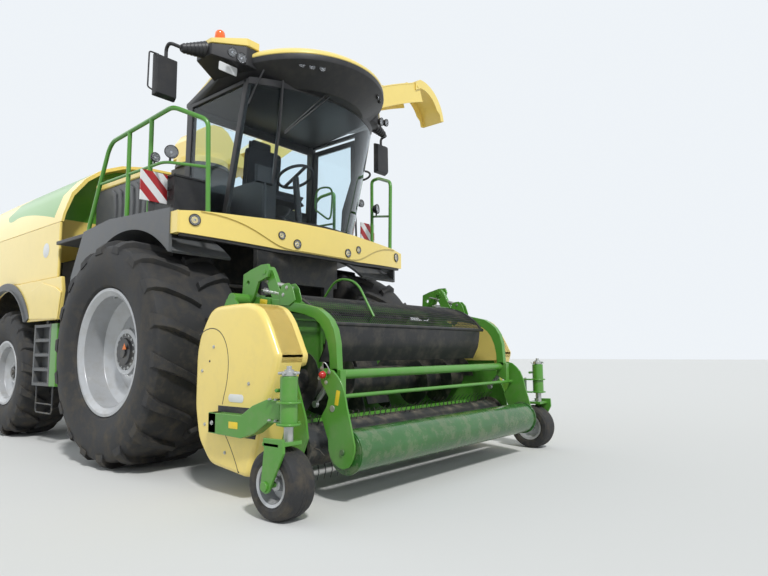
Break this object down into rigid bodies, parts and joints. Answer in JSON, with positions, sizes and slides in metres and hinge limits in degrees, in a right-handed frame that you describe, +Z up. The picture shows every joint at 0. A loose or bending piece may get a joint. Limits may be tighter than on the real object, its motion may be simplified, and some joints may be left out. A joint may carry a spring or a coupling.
{
  "type": "forage harvester",
  "caption": "Self-propelled forage harvester with cab, swung-out discharge spout and a pick-up header on gauge wheels.",
  "frame": {"origin": "on the ground under the middle of the front axle", "axes": "+X forward, +Y to the machine's left, +Z up"},
  "size_m": [7.793, 6.936, 6.03],
  "materials": {
    "yellow_paint": "gloss",
    "green_paint": "gloss",
    "grey_paint": "satin",
    "dark_paint": "satin",
    "black_plastic": "matt",
    "rubber": "matt",
    "rim_paint": "satin",
    "steel": "satin",
    "window_glass": "clear",
    "seat_cloth": "woven",
    "engine_iron": "rough"
  },
  "bodies": {
    "chassis": {"main_frame": "grey_paint", "front_axle": "dark_paint", "rear_axle": "dark_paint", "engine": "engine_iron", "chopper_housing": "dark_paint", "cab_floor": "dark_paint", "cab_frame": "dark_paint", "cab_glass": "window_glass", "cab_roof": "black_plastic", "roof_wings": "black_plastic", "seat": "seat_cloth", "controls": "black_plastic", "mirrors": "black_plastic", "front_panel": "yellow_paint", "front_fenders": "grey_paint", "platforms": "dark_paint", "railings": "green_paint", "tool_boxes": "black_plastic", "side_louvers": "grey_paint", "hood_shell": "yellow_paint", "rear_skirts": "yellow_paint", "rear_bumper": "dark_paint", "steps": "grey_paint"},
    "side_panel_r": {"hood_side_r": "yellow_paint"},
    "side_panel_l": {"hood_side_l": "yellow_paint"},
    "grille_door": {"rear_door": "dark_paint"},
    "left_door": {"cab_door": "dark_paint"},
    "spout_slew": {"spout_base": "yellow_paint"},
    "spout_arm": {"spout_boom": "yellow_paint"},
    "spout_end": {"spout_flap": "yellow_paint"},
    "header": {"intake_housing": "dark_paint", "header_frame": "green_paint", "header_shields": "yellow_paint", "gauge_beams": "green_paint"},
    "auger_rotor": {"auger": "dark_paint"},
    "reel_rotor": {"pickup_reel": "dark_paint"},
    "press_frame": {"press_arms": "green_paint", "wind_guard": "black_plastic"},
    "roller": {"press_roller": "green_paint"},
    "barrels": {"lift_barrels": "dark_paint"},
    "rods": {"lift_rods": "steel"},
    "front_wheel_r": {"tyre_front_r": "rubber", "rim_front_r": "rim_paint"},
    "knuckle_r": {"knuckle_r": "dark_paint"},
    "rear_wheel_r": {"tyre_rear_r": "rubber", "rim_rear_r": "rim_paint"},
    "caster_r": {"caster_r": "green_paint"},
    "gauge_r": {"gauge_wheel_r": "rubber"},
    "front_wheel_l": {"tyre_front_l": "rubber", "rim_front_l": "rim_paint"},
    "knuckle_l": {"knuckle_l": "dark_paint"},
    "rear_wheel_l": {"tyre_rear_l": "rubber", "rim_rear_l": "rim_paint"},
    "caster_l": {"caster_l": "green_paint"},
    "gauge_l": {"gauge_wheel_l": "rubber"}
  },
  "joints": [
    {"name": "header_lift", "type": "hinge", "parent": "chassis", "child": "header", "pos_m": [0.37, 0, 0.95], "axis": [0, -1, 0], "range_deg": [0, 20]},
    {"name": "auger_spin", "type": "hinge", "parent": "header", "child": "auger_rotor", "pos_m": [1.69, 0, 0.74], "axis": [0, 1, 0], "continuous": true},
    {"name": "reel_spin", "type": "hinge", "parent": "header", "child": "reel_rotor", "pos_m": [2.13, 0, 0.35], "axis": [0, 1, 0], "continuous": true},
    {"name": "press_lift", "type": "hinge", "parent": "header", "child": "press_frame", "pos_m": [1.663, 0, 1.63], "axis": [0, -1, 0], "range_deg": [0, 30]},
    {"name": "roller_spin", "type": "hinge", "parent": "press_frame", "child": "roller", "pos_m": [2.553, 0, 0.35], "axis": [0, 1, 0], "continuous": true},
    {"name": "barrel_tilt", "type": "hinge", "parent": "chassis", "child": "barrels", "pos_m": [0.105, 0, 0.55], "axis": [0, -1, 0], "range_deg": [0, 14.5]},
    {"name": "rod_slide", "type": "slide", "parent": "barrels", "child": "rods", "axis": [0.9978, 0, 0.0668], "range_m": [0, 0.125]},
    {"name": "spout_slewing", "type": "hinge", "parent": "chassis", "child": "spout_slew", "pos_m": [-1.15, 0, 3.33], "axis": [0, 0, 1], "range_deg": [-15, 195]},
    {"name": "spout_lift", "type": "hinge", "parent": "spout_slew", "child": "spout_arm", "pos_m": [-1.15, 0.62, 3.47], "axis": [1, 0, 0], "range_deg": [-22, 3]},
    {"name": "spout_flap_tilt", "type": "hinge", "parent": "spout_arm", "child": "spout_end", "pos_m": [-1.15, 4.34, 5.9], "axis": [1, 0, 0], "range_deg": [-30, 30]},
    {"name": "cab_door_swing", "type": "hinge", "parent": "chassis", "child": "left_door", "pos_m": [-0.03, 0.885, 2.8], "axis": [0, 0, 1], "range_deg": [0, 80]},
    {"name": "grille_door_swing", "type": "hinge", "parent": "chassis", "child": "grille_door", "pos_m": [-4.99, 1.12, 2], "axis": [0, 0, -1], "range_deg": [0, 100]},
    {"name": "front_wheel_r_spin", "type": "hinge", "parent": "chassis", "child": "front_wheel_r", "pos_m": [0, -1.3, 1.02], "axis": [0, 1, 0], "continuous": true},
    {"name": "steer_r", "type": "hinge", "parent": "chassis", "child": "knuckle_r", "pos_m": [-3.15, -0.83, 0.775], "axis": [0, 0, 1], "range_deg": [-30, 30]},
    {"name": "rear_wheel_r_spin", "type": "hinge", "parent": "knuckle_r", "child": "rear_wheel_r", "pos_m": [-3.15, -1.19, 0.775], "axis": [0, 1, 0], "continuous": true},
    {"name": "side_panel_r_lift", "type": "hinge", "parent": "chassis", "child": "side_panel_r", "pos_m": [-3.3, -1.455, 2.5], "axis": [-1, 0, 0], "range_deg": [0, 60]},
    {"name": "caster_r_swivel", "type": "hinge", "parent": "header", "child": "caster_r", "pos_m": [2.517, -1.724, 0.5], "axis": [0, 0, 1], "continuous": true},
    {"name": "gauge_wheel_r_spin", "type": "hinge", "parent": "caster_r", "child": "gauge_r", "pos_m": [2.445, -1.711, 0.215], "axis": [0, 1, 0], "continuous": true},
    {"name": "front_wheel_l_spin", "type": "hinge", "parent": "chassis", "child": "front_wheel_l", "pos_m": [0, 1.3, 1.02], "axis": [0, 1, 0], "continuous": true},
    {"name": "steer_l", "type": "hinge", "parent": "chassis", "child": "knuckle_l", "pos_m": [-3.15, 0.83, 0.775], "axis": [0, 0, 1], "range_deg": [-30, 30]},
    {"name": "rear_wheel_l_spin", "type": "hinge", "parent": "knuckle_l", "child": "rear_wheel_l", "pos_m": [-3.15, 1.19, 0.775], "axis": [0, 1, 0], "continuous": true},
    {"name": "side_panel_l_lift", "type": "hinge", "parent": "chassis", "child": "side_panel_l", "pos_m": [-3.3, 1.455, 2.5], "axis": [1, 0, 0], "range_deg": [0, 60]},
    {"name": "caster_l_swivel", "type": "hinge", "parent": "header", "child": "caster_l", "pos_m": [2.517, 1.724, 0.5], "axis": [0, 0, 1], "continuous": true},
    {"name": "gauge_wheel_l_spin", "type": "hinge", "parent": "caster_l", "child": "gauge_l", "pos_m": [2.445, 1.711, 0.215], "axis": [0, 1, 0], "continuous": true}
  ],
  "couplings": [
    {"joint": "barrel_tilt", "follows": "header_lift", "ratio": 0.6985},
    {"joint": "rod_slide", "follows": "header_lift", "m_per_rad": 0.3419},
    {"joint": "steer_l", "follows": "steer_r", "ratio": 1}
  ]
}
